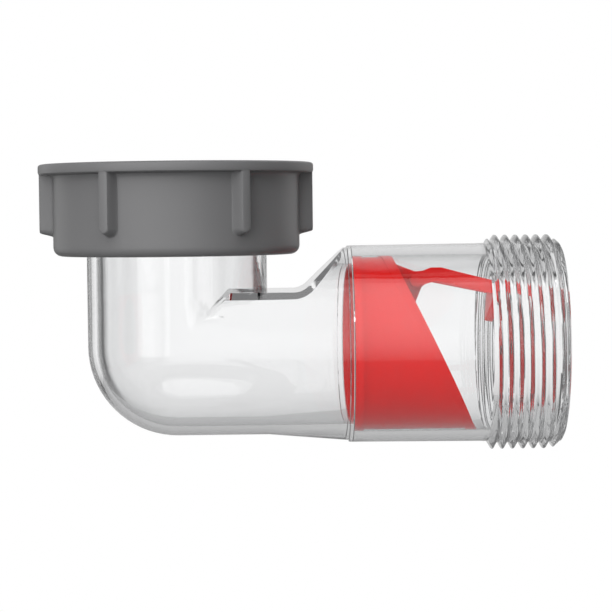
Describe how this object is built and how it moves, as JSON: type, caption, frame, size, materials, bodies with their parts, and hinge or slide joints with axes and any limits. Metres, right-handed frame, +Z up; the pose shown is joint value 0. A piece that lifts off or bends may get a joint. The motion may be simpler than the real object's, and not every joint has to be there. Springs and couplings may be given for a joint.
{
  "type": "waste elbow with non-return valve",
  "caption": "Clear 90 degree waste elbow with a ribbed union nut on the inlet and a flap valve in the threaded outlet that stops air and water coming back.",
  "frame": {"origin": "centre of the union nut's open end", "axes": "+Z up along the inlet, out of the nut; +X along the outlet, out of its thread; +Y completes the right-handed set"},
  "size_m": [0.1155, 0.061, 0.0644],
  "materials": {
    "clear_plastic": "clear, polished, no tint",
    "grey_plastic": "mid grey, satin moulding",
    "red_plastic": "bright red, glossy moulding",
    "rubber": "black, matt",
    "steel": "plain stainless"
  },
  "bodies": {
    "elbow": {"clear_body": "clear_plastic", "sealing_washer": "rubber", "valve_seat": "red_plastic", "hinge_pin": "steel", "stop_arm": "red_plastic"},
    "nut": {"union_nut": "grey_plastic"},
    "valve_flap": {"flap": "red_plastic", "flap_seal": "rubber"}
  },
  "joints": [
    {"name": "nut_spin", "type": "hinge", "parent": "elbow", "child": "nut", "pos_m": [0, 0, -0.0101], "axis": [0, 0, 1], "continuous": true},
    {"name": "flap_swing", "type": "hinge", "parent": "elbow", "child": "valve_flap", "pos_m": [0.05264, 0, -0.02672], "axis": [0, -1, 0], "range_deg": [0, 41]}
  ]
}
